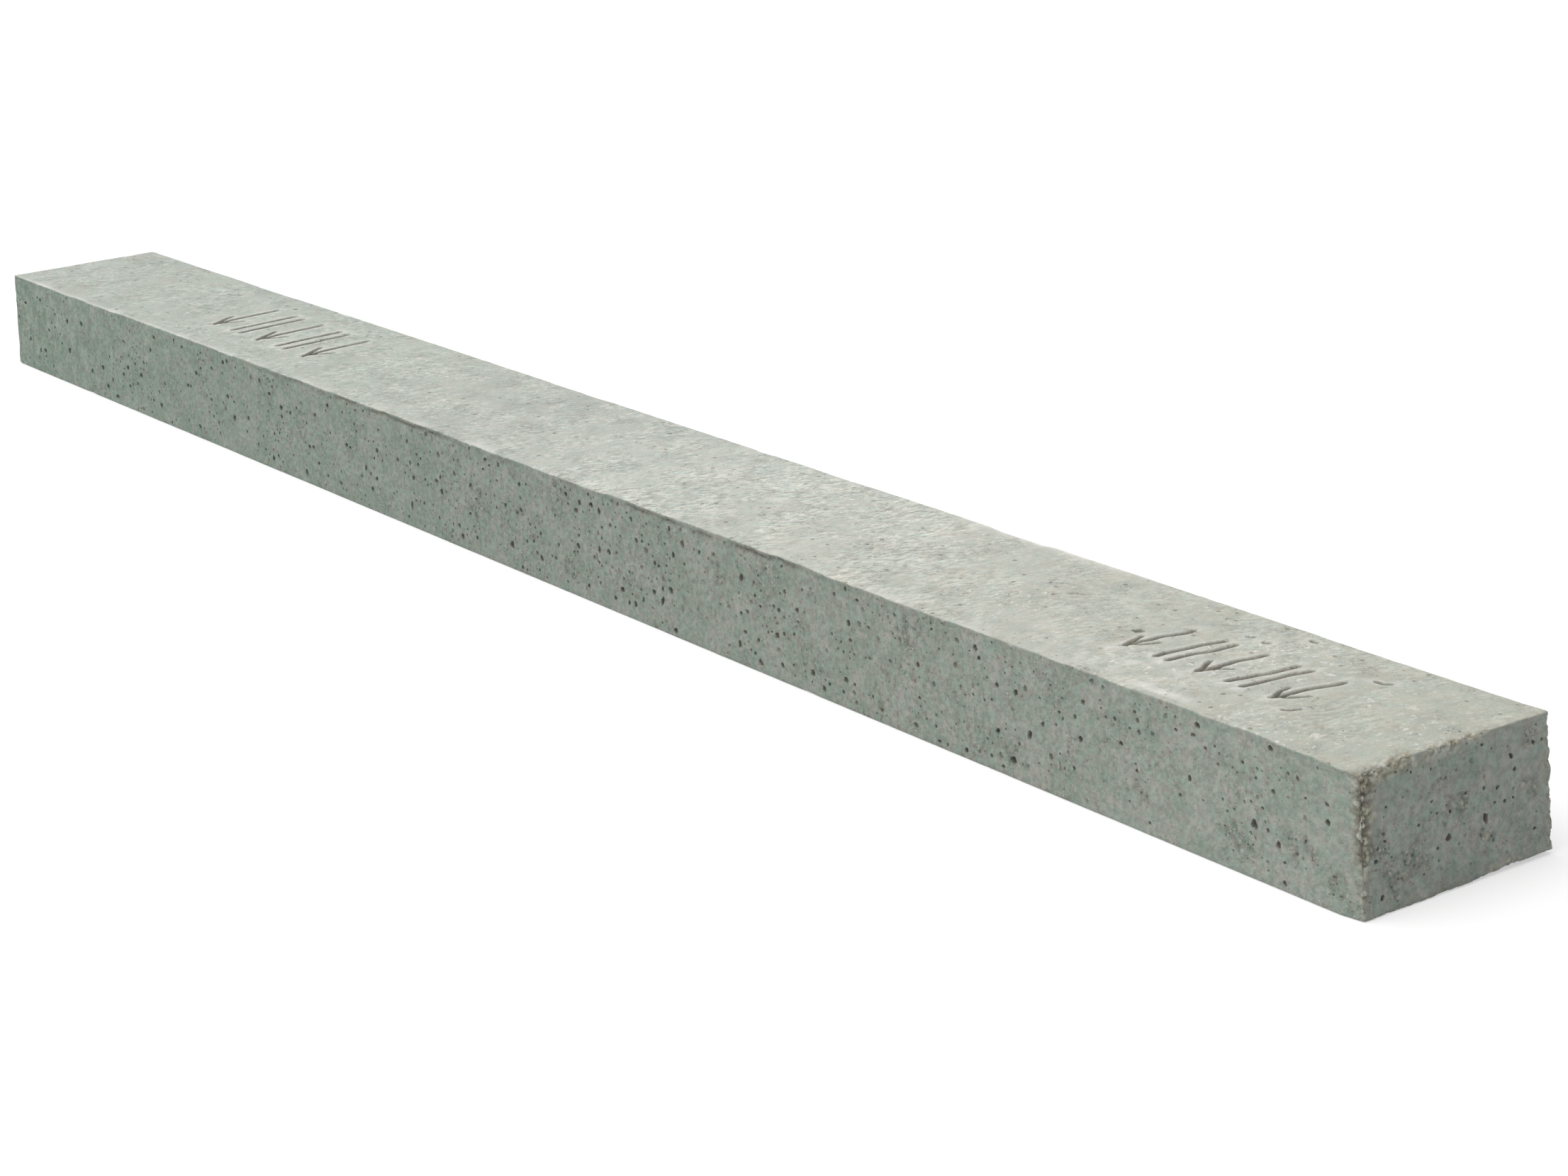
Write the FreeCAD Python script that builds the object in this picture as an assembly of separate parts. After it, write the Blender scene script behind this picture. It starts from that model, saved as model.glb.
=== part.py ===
import FreeCAD
import Part
import math
import os

from FreeCAD import Vector

# Precast reinforced concrete bar, cast with its marked face up.
# Millimetres. X runs along the bar, Z up from the base to the marked face.
# The origin is the middle of the base.

# Concrete: overall sizes are those of the base, the marked face is smaller all round
length = 1500.0
width = 123.0
height = 71.0
end_lean = 4.5            # how far each end stands in at the marked face
side_lean = 1.7           # how far each long side stands in at the marked face
arris_radius = 2.0        # worn rounding along every edge

# Tension bars, just under the marked face, which goes down in use
main_bar_diameter = 10.0
marked_face_cover = 20.0
side_cover = 22.0
end_cover = 25.0

# Cross wires, welded under the tension bars
cross_wire_diameter = 5.0
cross_wire_pitch = 190.0
cross_wire_overhang = 9.0  # past the outer side of each tension bar
first_wire_inset = 50.0    # least distance from a bar's end to the first wire
weld_set_down = 0.8        # how far a weld draws the wire into the bar

# Fibre concrete spacers, which stood on the mould and carried the tension bars
spacer_foot_size = 26.0
spacer_foot_rim = 4.0
spacer_head_size = 16.0
spacer_cradle_depth = 2.5  # how far the head rises round the bar's underside

# Places worked out from the sizes above
main_bar_radius = main_bar_diameter / 2
main_bar_axis_height = height - marked_face_cover - main_bar_radius
main_bar_underside = main_bar_axis_height - main_bar_radius
main_bar_offset = width / 2 - side_lean - side_cover - main_bar_radius
main_bar_length = length - 2 * (end_lean + end_cover)

cross_wire_radius = cross_wire_diameter / 2
cross_wire_height = main_bar_underside - cross_wire_radius + weld_set_down
cross_wire_length = 2 * (main_bar_offset + main_bar_radius + cross_wire_overhang)

SIDES = {"front": -1, "rear": 1}


def tapered_block(base, top, low, high):
    """Block with flat sides from a base (x, y) at z = low to a top (x, y) at z = high."""
    (bx, by), (tx, ty) = base, top
    block = Part.makeWedge(-bx / 2, 0, -by / 2, -ty / 2, -tx / 2,
                           bx / 2, high - low, by / 2, ty / 2, tx / 2)
    # a wedge narrows along Y, so it is stood up
    block.rotate(Vector(0, 0, 0), Vector(1, 0, 0), 90)
    block.translate(Vector(0, 0, low))
    return block


def cast_form():
    """Outer shape of the concrete: a block that narrows upwards, with worn arrises."""
    marked_face = (length - 2 * end_lean, width - 2 * side_lean)
    block = tapered_block((length, width), marked_face, 0, height)
    return block.makeFillet(arris_radius, block.Edges)


def tension_bar(side):
    """Straight bar along X, on the given side of the middle."""
    start = Vector(-main_bar_length / 2, side * main_bar_offset, main_bar_axis_height)
    return Part.makeCylinder(main_bar_radius, main_bar_length, start, Vector(1, 0, 0))


def bay_count():
    """Odd number of equal bays between the cross wires, so that one is central."""
    room = (main_bar_length / 2 - first_wire_inset) / cross_wire_pitch
    return 2 * max(0, math.floor(room - 0.5)) + 1


def cross_wire(x, bars):
    """Wire along Y at x, notched where each weld draws it into a bar."""
    start = Vector(x, -cross_wire_length / 2, cross_wire_height)
    wire = Part.makeCylinder(cross_wire_radius, cross_wire_length, start, Vector(0, 1, 0))
    return wire.cut(bars).Solids[0]


def spacer(x, side, bars):
    """Square foot and a tapered stem, from the base to a cradle under one bar."""
    foot_plan = (spacer_foot_size, spacer_foot_size)
    head_plan = (spacer_head_size, spacer_head_size)
    head = main_bar_underside + spacer_cradle_depth
    foot = tapered_block(foot_plan, foot_plan, 0, spacer_foot_rim)
    block = foot.fuse(tapered_block(foot_plan, head_plan, spacer_foot_rim, head))
    block.translate(Vector(x, side * main_bar_offset, 0))
    return block.cut(bars).Solids[0]


def reinforcement():
    """Everything that the concrete was cast round, by node name."""
    bars = {name: tension_bar(side) for name, side in SIDES.items()}
    cast_in = {f"tension_bar_{name}": bar for name, bar in bars.items()}
    both_bars = list(bars.values())
    bays = bay_count()
    for i in range(bays + 1):
        x = (i - bays / 2) * cross_wire_pitch
        cast_in[f"cross_wire_{i + 1}"] = cross_wire(x, both_bars)
    # spacers stand in every second bay, from one end bay to the other
    for row, bay in enumerate(range(0, bays, 2)):
        x = (bay + 0.5 - bays / 2) * cross_wire_pitch
        for name, side in SIDES.items():
            cast_in[f"spacer_{name}_{row + 1}"] = spacer(x, side, both_bars)
    return cast_in


def main():
    os.makedirs("parts", exist_ok=True)
    cast_in = reinforcement()
    concrete = cast_form().cut(list(cast_in.values())).Solids[0]
    nodes = {"concrete_body": concrete, **cast_in}
    for name, shape in nodes.items():
        shape.exportStep(f"parts/{name}.step")
        print(f"{name}: {shape.Volume / 1000:.1f} cm3, valid {shape.isValid()}")


main()
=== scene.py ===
import bpy
import math
import random
import numpy as np
from mathutils import Matrix, Vector, kdtree, noise
from mathutils.geometry import delaunay_2d_cdt


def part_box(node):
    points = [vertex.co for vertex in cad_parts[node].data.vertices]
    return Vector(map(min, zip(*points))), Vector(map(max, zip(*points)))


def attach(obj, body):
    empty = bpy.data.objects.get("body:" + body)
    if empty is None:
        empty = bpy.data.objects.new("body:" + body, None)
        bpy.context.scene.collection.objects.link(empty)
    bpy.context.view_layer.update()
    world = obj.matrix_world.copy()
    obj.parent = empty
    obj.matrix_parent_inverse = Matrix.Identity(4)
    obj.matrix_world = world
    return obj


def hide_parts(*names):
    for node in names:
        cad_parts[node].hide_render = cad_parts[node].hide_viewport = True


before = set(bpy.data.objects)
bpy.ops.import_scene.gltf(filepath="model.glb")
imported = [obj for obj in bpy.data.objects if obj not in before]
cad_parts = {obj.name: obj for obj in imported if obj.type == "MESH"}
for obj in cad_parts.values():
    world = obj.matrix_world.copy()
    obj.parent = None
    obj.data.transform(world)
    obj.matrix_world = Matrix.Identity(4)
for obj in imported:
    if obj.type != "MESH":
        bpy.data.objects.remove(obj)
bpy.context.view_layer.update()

mm = 0.001
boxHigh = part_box("concrete_body")[1]

# where the picture is taken from, in metres
cameraSetup = {
    "place": (1.7359, -1.0327, 0.5992),
    "aim": (0.2589, -0.0260, 0.0354),
    "rollDegrees": -3.00,
    "lens": 76.85,
    "sensorWidth": 36.0,
}


def placeCamera(setup):
    data = bpy.data.cameras.new("camera")
    data.lens = setup["lens"]
    data.sensor_width = setup["sensorWidth"]
    data.clip_start, data.clip_end = 0.05, 60.0
    camera = bpy.data.objects.new("camera", data)
    bpy.context.scene.collection.objects.link(camera)
    place = Vector(setup["place"])
    look = (Vector(setup["aim"]) - place).to_track_quat("-Z", "Y").to_matrix().to_4x4()
    roll = Matrix.Rotation(math.radians(setup["rollDegrees"]), 4, "Z")
    camera.matrix_world = Matrix.Translation(place) @ look @ roll
    bpy.context.scene.camera = camera


placeCamera(cameraSetup)
print("camera placed")


# a colour as a paint chip gives it, 0 to 255, turned into the linear values that shaders use
def paint(red, green, blue):
    chip = [c / 255 for c in (red, green, blue)]
    return tuple(c / 12.92 if c <= 0.04045 else ((c + 0.055) / 1.055) ** 2.4 for c in chip) + (1.0,)


# the node tree of a material or the world, with short ways to add what concrete and steel need
class nodeBench:
    def __init__(self, owner):
        self.owner = owner
        self.owner.use_nodes = True
        self.tree = owner.node_tree
        self.where = self.add("ShaderNodeTexCoord").outputs["Object"]

    # fills a node's sockets with numbers, colours or other nodes' outputs
    def plug(self, node, plugs):
        for name, value in plugs.items():
            if isinstance(value, bpy.types.NodeSocket):
                self.tree.links.new(value, node.inputs[name])
            else:
                node.inputs[name].default_value = value

    def add(self, kind, plugs=None, **settings):
        made = self.tree.nodes.new(kind)
        for name, value in settings.items():
            setattr(made, name, value)
        self.plug(made, plugs or {})
        return made

    # coordinates turned about Z and stretched by a factor each way, so that a pattern gets a direction
    def turned(self, degrees, stretch):
        plugs = {"Vector": self.where, "Rotation": (0, 0, math.radians(degrees)), "Scale": stretch}
        return self.add("ShaderNodeMapping", plugs, vector_type="TEXTURE").outputs["Vector"]

    # cloudy pattern about 0.5, with grains of the given size in millimetres
    def cloud(self, grain, detail=3.0, rough=0.5, where=None):
        plugs = {"Scale": 1 / (grain * mm), "Detail": detail, "Roughness": rough}
        return self.add("ShaderNodeTexNoise", {"Vector": where or self.where, **plugs}).outputs["Fac"]

    def ramp(self, value, low, high, start=0.0, end=1.0):
        plugs = {"Value": value, "From Min": low, "From Max": high, "To Min": start, "To Max": end}
        return self.add("ShaderNodeMapRange", plugs, interpolation_type="SMOOTHSTEP").outputs["Result"]

    # a cloud ramped between two levels: its grain, detail and roughness, the levels, and the values there
    def pattern(self, kind, where=None):
        grain, detail, rough, *levels = kind
        return self.ramp(self.cloud(grain, detail, rough, where), *levels)

    def maths(self, operation, first, second, **settings):
        made = self.add("ShaderNodeMath", {0: first, 1: second}, operation=operation, **settings)
        return made.outputs["Value"]

    def times(self, value, *others):
        for other in others:
            value = self.maths("MULTIPLY", value, other)
        return value

    def mix(self, factor, first, second, blend="MIX"):
        made = self.add("ShaderNodeMix", {"Factor": factor}, data_type="RGBA", blend_type=blend)
        places = [place for place, socket in enumerate(made.inputs) if socket.type == "RGBA"]
        self.plug(made, dict(zip(places, (first, second))))
        return [socket for socket in made.outputs if socket.type == "RGBA"][0]

    def tinted(self, colour, *tints):
        for tint in tints:
            colour = self.mix(1.0, colour, tint, "MULTIPLY")
        return colour

    # patches that run from one tint to another, in one pattern over the next
    def tints(self, kinds):
        return self.tinted(*(self.mix(self.pattern(kind), *pair) for kind, *pair in kinds))

    # small round spots, 1 inside and 0 outside: the cells that they lie in, the share that has one, its width
    def spots(self, size, share, width):
        tex = self.add("ShaderNodeTexVoronoi", {"Vector": self.where, "Scale": 1 / (size * mm)})
        own = self.add("ShaderNodeSeparateColor", {"Color": tex.outputs["Color"]})
        inside = self.ramp(tex.outputs["Distance"], width, width * 0.6)
        return self.times(inside, self.maths("LESS_THAN", own.outputs["Red"], share))

    # how far along the bar a point is, from its far end, 0, to the broken one, 1
    def share(self):
        split = self.add("ShaderNodeSeparateXYZ", {"Vector": self.where})
        return self.maths("ADD", self.times(split.outputs["X"], 0.5 / boxHigh.x), 0.5)

    # values that change along the bar, multiplied: each between two shares of its length
    def fade(self, *places):
        return self.times(*(self.ramp(self.share(), *place) for place in places))

    # a colour that changes along the bar
    def along(self, stops):
        colours = self.add("ShaderNodeValToRGB", {"Fac": self.share()})
        elements = colours.color_ramp.elements
        elements.remove(elements[1])
        for number, (place, colour) in enumerate(stops):
            stop = elements.new(place) if number else elements[0]
            stop.position, stop.color = place, paint(*colour)
        return colours.outputs["Color"]

    # a value painted on the mesh's points
    def painted(self, name):
        return self.add("ShaderNodeAttribute", attribute_name=name).outputs["Fac"]

    def bump(self, height, depth, **under):
        plugs = {"Distance": depth * mm, "Height": height, **under}
        return self.add("ShaderNodeBump", plugs).outputs["Normal"]

    # gives the surface its look, and the material back
    def surface(self, plugs):
        self.plug(self.tree.nodes["Principled BSDF"], plugs)
        return self.owner


# the bar in its own box: millimetres from the box's middle, before the sides lean
barForm = {
    "arris": 2.0,        # rounding of the solid's edges
    "stationStep": 3.9,  # spacing of points along an arris
    "fineStep": 1.4,     # the same across the ends and near the broken end
    "fineReach": 60.0,
    "rows": (0.7, 1.6, 2.8, 4.6),  # distances of the rows of points beside each arris
    # spacing of points over each side
    "field": {"top": 5.0, "base": 12.0, "front": 6.5, "back": 7.5, "nearEnd": 5.0, "farEnd": 6.5},
    "crumbReach": 10.5,  # how far the broken end's crumbs spread from its arrises
    "crumbStep": 1.05,   # spacing of points among the crumbs
    "patchStep": 1.25,   # the same in the rough patches
    "farSoftening": 0.2,  # how much rounder the front's upper arris is towards the far end
}
half = np.array((boxHigh.x, boxHigh.y, boxHigh.z / 2)) / mm
solidPoints = np.array([v.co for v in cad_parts["concrete_body"].data.vertices]) / mm
markedFlat = solidPoints[solidPoints[:, 2] > boxHigh.z / mm - 0.1]
lean = half[:2] - abs(markedFlat[:, :2]).max(axis=0) - barForm["arris"]

# each side of the box: the axis that it faces, its direction, and its own two axes
sides = {
    "top": (2, 1, 0, 1),
    "base": (2, -1, 0, 1),
    "front": (1, -1, 0, 2),
    "back": (1, 1, 0, 2),
    "nearEnd": (0, 1, 1, 2),
    "farEnd": (0, -1, 1, 2),
}


def smooth(value, low, high):
    t = np.clip((value - low) / (high - low), 0, 1)
    return t * t * (3 - 2 * t)


# 1 at zero, and falling away over a reach on both sides
def bell(value, reach):
    return np.exp(-(value / reach) ** 2)


# soft noise from -1 to 1 at each point, with waves of the given length
def ripple(points, length, seed):
    size = np.array(length if isinstance(length, tuple) else (length,) * 3)
    return np.array([noise.noise(Vector(p)) for p in points / size + seed * 17.3])


def spaced(start, end, step):
    return np.linspace(start, end, 1 + round((end - start) / step))


# points along one axis of the box, closer together towards the broken end
def stations(axis):
    span, fine = half[axis], barForm["fineStep"]
    if axis > 0:
        return spaced(-span, span, fine)
    turn = span - barForm["fineReach"]
    return np.concatenate([spaced(-span, turn, barForm["stationStep"])[:-1], spaced(turn, span, fine)])


# the rows of points that run beside the four edges of a side, and the edges themselves
def edgeRows(side):
    u, v = sides[side][2:]
    made = []
    for inset in (0.0,) + barForm["rows"]:
        for along, across in ((u, v), (v, u)):
            line = stations(along)
            line = line[abs(line) <= half[along] - inset]
            for end in (-1, 1):
                beside = np.full(len(line), end * (half[across] - inset))
                made.append(np.stack((line, beside) if along == u else (beside, line), axis=1))
    return made


# staggered, slightly uneven points over a side
def fieldPoints(side, step, reach, rng):
    u, v = sides[side][2:]
    made = []
    for i, across in enumerate(np.arange(-half[v] + reach, half[v] - reach, step * 0.87)):
        line = np.arange(-half[u] + reach + step * 0.5 * (i % 2), half[u] - reach, step)
        made += [(x + rng.uniform(-0.2, 0.2) * step, across + rng.uniform(-0.2, 0.2) * step) for x in line]
    return np.array(made)


# close points where the broken end crumbles
def crumbPoints(side, rng):
    if side == "farEnd":
        return np.zeros((0, 2))
    points = fieldPoints(side, barForm["crumbStep"], 0.8, rng)
    u, v = sides[side][2:]
    edge = half[u] - points[:, 0]
    if side == "nearEnd":
        edge = np.minimum(half[u] - abs(points[:, 0]), half[v] - abs(points[:, 1]))
    return points[edge < barForm["crumbReach"]]


# close points in the rough patches
def patchPoints(side, rng):
    made = []
    for u, v, reach, _ in roughPatches.get(side, []):
        offsets = np.arange(-reach, reach, barForm["patchStep"])
        made += [(u + a + rng.uniform(-0.2, 0.2), v + b + rng.uniform(-0.2, 0.2))
                 for a in offsets for b in offsets if math.hypot(a, b) < reach]
    points = np.array(made).reshape(-1, 2)
    along, across = sides[side][2:]
    edge = barForm["rows"][-1]
    return points[(abs(points[:, 0]) < half[along] - edge) & (abs(points[:, 1]) < half[across] - edge)]


# keeps the points that are at least a gap away from those already there
def clearOf(points, others, gap):
    if not len(others) or not len(points):
        return points
    tree = kdtree.KDTree(len(others))
    for i, p in enumerate(others):
        tree.insert((p[0], p[1], 0), i)
    tree.balance()
    return np.array([p for p in points if tree.find((p[0], p[1], 0))[2] >= gap]).reshape(-1, 2)


# one point per gap-sized square
def thinned(points, gap):
    _, first = np.unique(np.round(points / gap).astype(int), axis=0, return_index=True)
    return points[np.sort(first)]


# orientation marks scored by hand into the soft face, arrows and bars in place of writing
markStyles = {
    "near": {"middle": (603.5, -1.5), "size": (132.0, 42.0), "slant": -5.0,
             "depth": 2.2, "width": 2.15, "sway": 2.0},
    "far": {"middle": (-396.0, 3.0), "size": (176.0, 54.0), "slant": 5.0,
            "depth": 2.9, "width": 2.7, "sway": 0.6},
}
# glyphs in a unit square, each a list of strokes
glyphs = {
    "arrow": [((0.50, 1.0), (0.50, 0.0)), ((0.12, 0.38), (0.47, 0.02)), ((0.53, 0.02), (0.88, 0.36))],
    "bars": [((0.28, 0.0), (0.28, 1.0)), ((0.72, 1.0), (0.72, 0.0))],
}
markLine = ("arrow", "bars", "arrow", "bars", "arrow")
slipStyle = {"width": 1.7, "sway": 2.5}
# short slips of the tool beside the marks: start, end, depth
slips = [((669, 30), (676, 34), 1.6), ((669, -31), (675, -25), 1.5), ((-550, 31), (-538, 34), 1.1),
         ((-464, 43), (-461, 44), 1.2), ((443, 17), (457, 28), 0.4), ((465, 12), (474, 20), 0.4),
         ((578, 32), (581, 34), 0.9), ((590, 32), (593, 33), 1.5), ((604, 53), (607, 51), 1.5)]


# points about a millimetre apart along a stroke drawn by an unsteady hand
def strokeLine(start, end, sway, seed):
    start, end = np.array(start, float), np.array(end, float)
    length = np.linalg.norm(end - start)
    t = np.linspace(0, 1, max(4, round(length / 1.1)))
    line = start + (end - start) * t[:, None]
    sideways = np.array((-(end - start)[1], (end - start)[0])) / length
    off = [noise.noise(Vector((s * length / 13, seed * 3.7, 0))) + 0.35 * math.sin(seed + 5 * s) for s in t]
    return line + np.outer(np.array(off) * sway, sideways)


def scoredStrokes():
    made = []
    for seed, style in enumerate(markStyles.values()):
        wide, tall = style["size"]
        pitch = wide / len(markLine)
        for place, name in enumerate(markLine):
            corner = np.array(style["middle"]) + (pitch * (place - len(markLine) / 2), -tall / 2)
            for number, ends in enumerate(glyphs[name]):
                ends = [corner + (pitch * (0.1 + 0.8 * x) + style["slant"] * (0.5 - y), y * tall)
                        for x, y in ends]
                line = strokeLine(*ends, style["sway"], seed * 40 + place * 5 + number)
                light = 0.78 if name == "arrow" and number else 1.0  # the barbs are scored more lightly
                made.append((line, style["depth"] * light, style["width"] * light))
    for number, (start, end, depth) in enumerate(slips):
        made.append((strokeLine(start, end, slipStyle["sway"], 90 + number), depth, slipStyle["width"]))
    return made


strokes = scoredStrokes()


# lines of points along each groove, so that the mesh follows it
def groovePoints():
    made = []
    for line, _, width in strokes:
        ahead = np.gradient(line, axis=0)
        ahead /= np.linalg.norm(ahead, axis=1)[:, None]
        sideways = np.stack([-ahead[:, 1], ahead[:, 0]], axis=1)
        for offset in (0, -0.42, 0.42, -0.75, 0.75, -1.05, 1.05, -1.5, 1.5, -2.3, 2.3):
            made.append(line + sideways * offset * width)
        for tip, out in ((line[0], -ahead[0]), (line[-1], ahead[-1])):
            made.append(np.array([tip + out * width * reach for reach in (0.45, 0.8, 1.1, 1.7)]))
    return np.concatenate(made)


# how deep the scoring is at each point of a side, and how high its burr stands
def scoreDepth(points):
    depth, burr = np.zeros(len(points)), np.zeros(len(points))
    for number, (line, deep, width) in enumerate(strokes):
        low, high = line.min(axis=0) - 6, line.max(axis=0) + 6
        close = np.nonzero(((points > low) & (points < high)).all(axis=1))[0]
        if not len(close):
            continue
        gaps = np.linalg.norm(points[close][:, None, :] - line[None, :, :], axis=2)
        t, gap = gaps.argmin(axis=1) / (len(line) - 1), gaps.min(axis=1) / width
        # the tool bit deepest at the end of a stroke that is nearer the front
        back = (line[:, 1][gaps.argmin(axis=1)] - low[1] - 6) / max(np.ptp(line[:, 1]), 12)
        strength = deep * (1.12 - 0.45 * back + 0.12 * np.sin(5.1 * t + number))
        depth[close] = np.maximum(depth[close], strength * (1 - smooth(gap, 0.25, 1.05)))
        burr[close] = np.maximum(burr[close], 0.2 * strength * bell(gap - 1.6, 0.5))
    return depth, burr * (depth < 0.05)


# air holes left by bubbles against the mould, in millimetres: how many, their radius and its spread and
# limit, how drawn out they may be, and the size of the crowds that they stand in
poreKinds = {
    "front": {"count": 1400, "radius": 0.90, "spread": 0.38, "most": 1.8, "tall": 1.2, "patch": 55},
    "back": {"count": 560, "radius": 0.88, "spread": 0.42, "most": 2.5, "tall": 1.2, "patch": 60},
    "nearEnd": {"count": 130, "radius": 0.70, "spread": 0.40, "most": 1.5, "tall": 1.15, "patch": 22},
    "farEnd": {"count": 100, "radius": 0.80, "spread": 0.45, "most": 2.2, "tall": 1.15, "patch": 30},
    "top": {"count": 170, "radius": 0.70, "spread": 0.35, "most": 1.3, "tall": 1.0, "patch": 90},
    "base": {"count": 180, "radius": 1.0, "spread": 0.5, "most": 3.2, "tall": 1.0, "patch": 70},
}
# what the holes share: radii in millimetres, and depths as shares of a hole's radius
poreForm = {
    "least": 0.42,            # the smallest radius
    "inPatch": (0.5, 1.1),    # radii in the rough patches
    "large": 1.2,             # depth of the large holes
    "shallow": (0.3, 0.6),    # depth of dents
    "deep": (0.7, 1.3),       # depth of real holes
    "shallowShare": 0.35,     # how many are dents
    "proudShare": 0.3,        # how many in the rough patches stand proud instead
    "evenness": 0.45,         # the higher, the less they crowd
    "apart": 0.3,             # least gap between two rims
}
# the front's holes are larger about one place: how much, and its place and reach in half lengths of the bar
frontGrowth = {"most": 0.22, "place": 0.25, "reach": 0.35}
# the large holes: place along the side, height from the middle, radius, how tall
largePores = {
    "front": [(-730, 16, 2.0, 0.6), (-724, -12, 1.8, 1.0), (-696, -17, 2.2, 0.8), (-686, 1, 1.8, 0.8),
              (-650, 14, 2.5, 1.0), (-648, -9, 2.6, 1.0), (-623, 16, 2.2, 1.0), (-607, -18, 2.3, 1.0),
              (-587, -12, 2.4, 1.1), (-579, -25, 2.3, 1.0), (-563, -30, 2.2, 0.7), (-546, 15, 1.8, 0.5),
              (-541, -4, 2.2, 1.0), (-518, -6, 2.2, 0.8), (-492, 27, 1.9, 0.8), (-485, -23, 2.2, 1.0),
              (-423, 12, 2.1, 0.9), (-421, -27, 2.0, 0.8), (-378, 28, 1.9, 0.8), (-373, 4, 2.0, 1.0),
              (-364, -10, 2.3, 1.1), (-305, -28, 2.3, 1.0), (-290, 11, 2.2, 0.8), (-256, -28, 2.3, 1.7),
              (-250, -9, 1.8, 1.0), (-221, 25, 2.0, 1.0), (-170, -8, 1.8, 1.2), (-162, -21, 2.0, 1.0),
              (-109, -21, 2.2, 2.2), (-69, -4, 2.0, 1.1), (-44, -28, 2.3, 1.1), (-32, 8, 1.8, 1.5),
              (-26, -25, 1.6, 1.0), (-12, 29, 1.7, 0.7), (11, 4, 1.6, 1.0), (17, -20, 2.5, 1.2),
              (52, -21, 2.1, 1.3), (98, 24, 1.8, 1.1), (120, 23, 2.1, 1.9), (119, -1, 1.9, 1.4),
              (155, 25, 1.7, 1.2), (186, -17, 2.4, 2.0), (199, 13, 2.0, 1.4), (264, -24, 1.9, 1.6),
              (368, 13, 1.9, 1.3), (519, -9, 2.1, 1.9), (505, -26, 2.4, 0.9), (558, -1, 1.7, 1.2),
              (637, 1, 1.6, 1.2), (681, -9, 2.5, 1.2), (697, -14, 1.8, 1.2), (729, 6, 1.8, 1.1),
              (692, 31, 1.7, 0.9)],
    "nearEnd": [(-7, -10, 1.9, 1.1), (17, -7, 2.2, 1.7), (35, 19, 1.7, 1.3), (37, 12, 1.4, 0.9),
                (-50, -27, 1.6, 0.8), (-53, -9, 1.3, 0.8), (-17, 10, 1.0, 0.8), (-5, 2, 1.2, 1.1),
                (-46, 15, 0.9, 1.0), (-30, 27, 0.9, 1.0), (-14, -13, 1.1, 0.9), (30, -2, 1.2, 1.0),
                (49, -21, 1.2, 0.7), (50, 22, 1.3, 1.1), (16, 29, 1.1, 0.6)],
    "top": [(535, -2, 3.3, 1.0)],
}
# rough patches where the mortar didn't close: place, reach, number of small holes and crumbs
roughPatches = {
    "nearEnd": [(-35, -15, 18, 16), (-50, -3, 9, 6), (46, 0, 9, 8), (-12, 21, 9, 7), (20, -14, 9, 6),
                (0, 4, 10, 6), (48, 24, 7, 5)],
    "front": [(735, -22, 9, 10), (712, -12, 12, 14), (668, -20, 13, 14), (600, -14, 12, 12),
              (505, -24, 9, 10), (420, 20, 14, 12), (90, -16, 15, 14), (-20, -4, 16, 14),
              (-260, 5, 16, 14), (240, 10, 14, 12)],
    "back": [(300, -10, 14, 16), (-350, 10, 14, 16), (60, 12, 12, 10)],
    "farEnd": [(20, -10, 12, 12), (-30, 12, 9, 8)],
}
# drops of mortar left standing on the top: how many, their range of radius, and how high they stand
mortarDrops = {"count": 60, "radius": (0.8, 1.9), "height": 0.3}


# the spacers' feet, which show in the base
feetDepth = 3.0
feet = [[np.array(corner)[:2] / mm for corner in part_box(node)]
        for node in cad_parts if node.startswith("spacer")]


# whether a place is within a gap of a spacer's foot
def onFoot(at, gap):
    return any(((at > low - gap) & (at < high + gap)).all() for low, high in feet)


# how far a hole reaches from its middle, at most
def poreReach(radius, tall):
    return radius * math.sqrt(tall) * 1.22


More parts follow.
